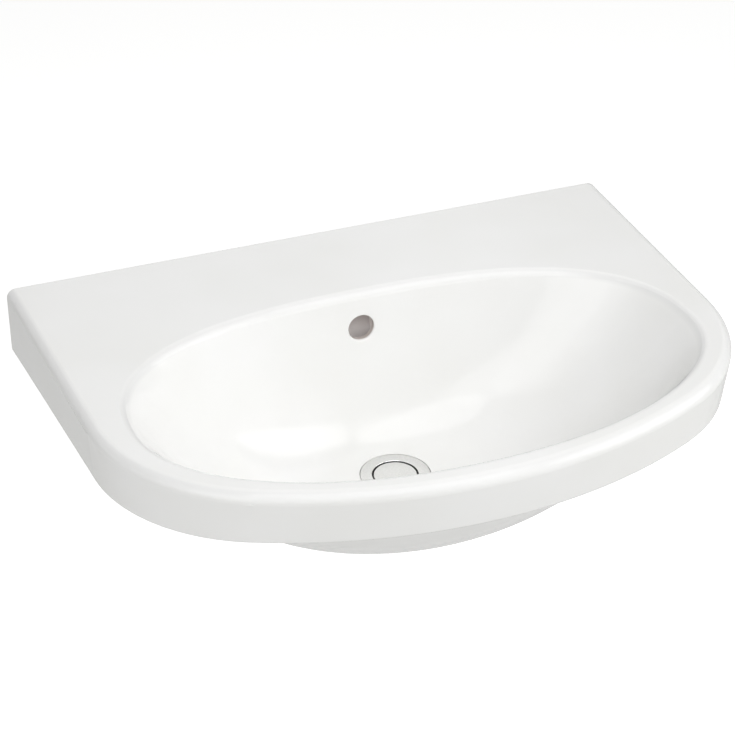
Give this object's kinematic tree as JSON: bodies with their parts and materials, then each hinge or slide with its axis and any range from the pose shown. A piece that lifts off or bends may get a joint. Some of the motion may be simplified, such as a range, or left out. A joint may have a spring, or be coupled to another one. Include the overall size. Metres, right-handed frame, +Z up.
{
  "type": "wall hung basin",
  "caption": "D-shaped wall hung washbasin of white china with a deep apron, a flat rear shelf, an overflow hole and a push-down plug waste.",
  "frame": {"origin": "midway between the two wall bolts, on the face that lies on the wall", "axes": "+Y into the wall, +X along the wall to the right as seen from the room, +Z up"},
  "size_m": [0.5998, 0.4997, 0.2185],
  "materials": {
    "china": "gloss",
    "chrome": "polished",
    "rubber": "matte",
    "white_plastic": "satin",
    "acetal": "satin",
    "brass": "satin",
    "stainless_steel": "satin",
    "zinc_steel": "satin"
  },
  "bodies": {
    "basin": {"basin": "china", "waste_body": "chrome", "flange_seal": "rubber", "basin_seal": "rubber", "clamp_washer": "white_plastic", "waste_nut": "brass", "latch_sleeve": "brass", "latch_cap": "brass", "latch_spring": "stainless_steel", "cartridge_screw": "stainless_steel", "hanger_bolt_left": "zinc_steel", "bolt_sleeve_left": "white_plastic", "bolt_washer_left": "zinc_steel", "bolt_nut_left": "zinc_steel", "nut_cover_left": "white_plastic", "hanger_bolt_right": "zinc_steel", "bolt_sleeve_right": "white_plastic", "bolt_washer_right": "zinc_steel", "bolt_nut_right": "zinc_steel", "nut_cover_right": "white_plastic"},
    "plug": {"plug_cap": "chrome", "plug_seal": "rubber", "plug_stem": "brass"},
    "latch_cam": {"latch_cam": "acetal"}
  },
  "joints": [
    {"name": "plug_lift", "type": "slide", "parent": "basin", "child": "plug", "axis": [0, 0, 1], "range_m": [0, 0.007], "deforming": ["latch_spring"]},
    {"name": "cam_turn", "type": "hinge", "parent": "plug", "child": "latch_cam", "pos_m": [0, -0.2095, -0.0795], "axis": [0, 0, 1], "range_deg": [0, 45]}
  ],
  "couplings": [
    {"joint": "cam_turn", "follows": "plug_lift", "rad_per_m": 112.2}
  ]
}
